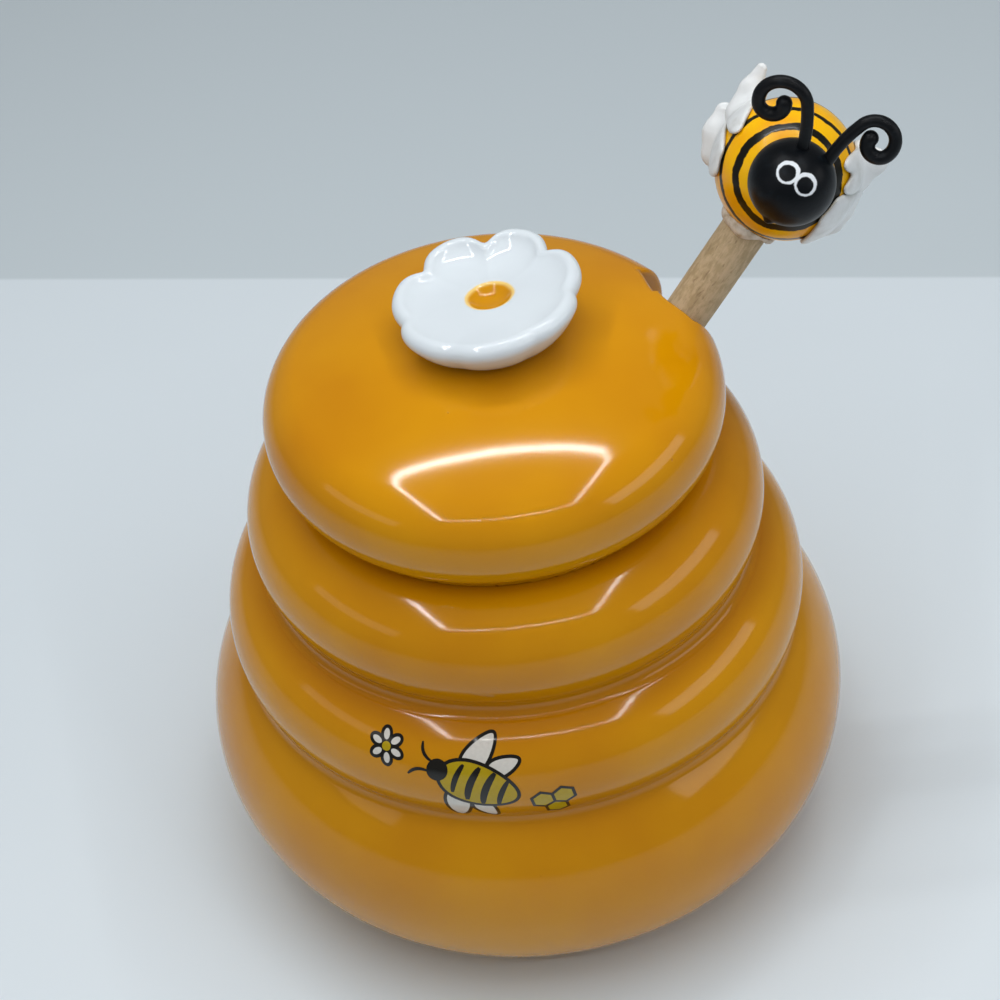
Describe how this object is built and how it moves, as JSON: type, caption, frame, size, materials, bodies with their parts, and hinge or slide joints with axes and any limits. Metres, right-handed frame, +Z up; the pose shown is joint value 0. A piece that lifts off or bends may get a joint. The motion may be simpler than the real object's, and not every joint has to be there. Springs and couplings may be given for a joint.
{
  "type": "honey pot with lift-off lid and honey dipper",
  "caption": "Coil-shaped glazed honey pot with a lift-off lid, a flower knob and a wooden dipper that leans out through a notch and carries a bee.",
  "frame": {"origin": "on the pot's axis, in the plane of the flat foot it stands on", "axes": "+Z up along the pot's axis; the printed front of the pot faces -Y; the dipper leans out towards +X and a little +Y"},
  "size_m": [0.1331, 0.12, 0.1548],
  "materials": {
    "honey_glaze": "glossy amber glaze",
    "white_glaze": "glossy white glaze",
    "beech": "sanded, unvarnished",
    "glue": "cloudy dried glue",
    "yellow_clay": "varnished, with painted black stripes",
    "black_clay": "satin, with painted white eyes",
    "white_clay": "varnished"
  },
  "bodies": {
    "pot": {"pot": "honey_glaze"},
    "lid": {"lid": "honey_glaze", "flower_knob": "white_glaze"},
    "dipper": {"dipper": "beech", "glue_collar": "glue", "bee_body": "yellow_clay", "bee_head": "black_clay", "antenna_left": "black_clay", "antenna_right": "black_clay", "wing_upper_left": "white_clay", "wing_lower_left": "white_clay", "wing_upper_right": "white_clay", "wing_lower_right": "white_clay"}
  },
  "joints": [
    {"name": "lid_lift", "type": "slide", "parent": "pot", "child": "lid", "axis": [0, 0, 1], "range_m": [0, 0.07]},
    {"name": "dipper_slide", "type": "slide", "parent": "pot", "child": "dipper", "axis": [0.6012, 0.1884, 0.7766], "range_m": [0, 0.062]}
  ]
}
